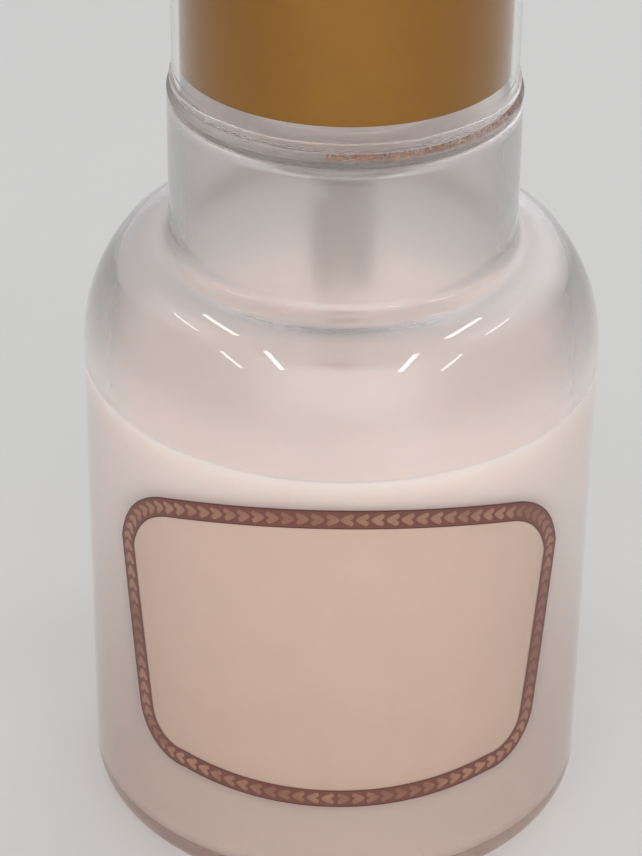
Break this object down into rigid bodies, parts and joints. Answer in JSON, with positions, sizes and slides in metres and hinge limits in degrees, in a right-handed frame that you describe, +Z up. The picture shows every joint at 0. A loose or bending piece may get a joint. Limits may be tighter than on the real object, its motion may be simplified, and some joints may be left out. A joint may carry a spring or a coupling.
{
  "type": "pump bottle",
  "caption": "Clear round bottle of milky body essence, 65 mm across and 149 mm tall, with a gold-collared dispensing pump under a clear overcap.",
  "frame": {"origin": "on the bottle's axis, at the level of the base ring it stands on", "axes": "+Z up along the axis, -Y towards the front label"},
  "size_m": [0.065, 0.0652, 0.1487],
  "materials": {
    "clear_petg": "clear, polished, heavy wall",
    "clear_san": "clear, polished, thin wall",
    "milky_essence": "pale pink, milky, wet",
    "label_film": "semi-transparent peach film with a reddish-brown ornamental border",
    "back_film": "plain pale film",
    "gold_aluminium": "satin gold anodised",
    "natural_pp": "natural translucent moulding",
    "white_pp": "white moulding, satin",
    "seal_pe": "soft white foam and film seals",
    "stainless": "bright drawn stainless"
  },
  "bodies": {
    "bottle": {"bottle": "clear_petg", "essence_fill": "milky_essence", "front_label": "label_film", "back_label": "back_film"},
    "pump": {"pump_housing": "natural_pp", "gasket": "seal_pe", "turret": "white_pp", "stem_seal": "seal_pe", "return_spring": "stainless", "dip_tube": "natural_pp"},
    "closure": {"closure": "white_pp", "collar_sleeve": "gold_aluminium"},
    "overcap": {"overcap": "clear_san"},
    "stem": {"stem": "natural_pp", "stem_plug": "natural_pp"},
    "head": {"actuator": "white_pp", "actuator_shell": "gold_aluminium", "nozzle_insert": "white_pp"},
    "piston": {"piston": "white_pp"},
    "ball": {"inlet_ball": "stainless"}
  },
  "joints": [
    {"name": "pump_lift", "type": "slide", "parent": "bottle", "child": "pump", "axis": [0, 0, 1], "range_m": [0, 0.005]},
    {"name": "closure_turn", "type": "hinge", "parent": "pump", "child": "closure", "pos_m": [0, 0, 0.114], "axis": [0, 0, 1], "range_deg": [0, 450]},
    {"name": "overcap_lift", "type": "slide", "parent": "closure", "child": "overcap", "axis": [0, 0, 1], "range_m": [0, 0.05]},
    {"name": "press", "type": "slide", "parent": "pump", "child": "stem", "axis": [0, 0, -1], "range_m": [0, 0.006], "stiffness_N_per_m": 800, "springref_m": -0.008, "deforming": ["return_spring"]},
    {"name": "head_turn", "type": "hinge", "parent": "stem", "child": "head", "pos_m": [0, 0, 0.138], "axis": [0, 0, 1], "continuous": true},
    {"name": "piston_slide", "type": "slide", "parent": "stem", "child": "piston", "axis": [0, 0, 1], "range_m": [0, 0.0006]},
    {"name": "ball_lift", "type": "slide", "parent": "pump", "child": "ball", "axis": [0, 0, 1], "range_m": [0, 0.0008]}
  ],
  "couplings": [
    {"joint": "pump_lift", "follows": "closure_turn", "m_per_rad": 0.0006366}
  ]
}
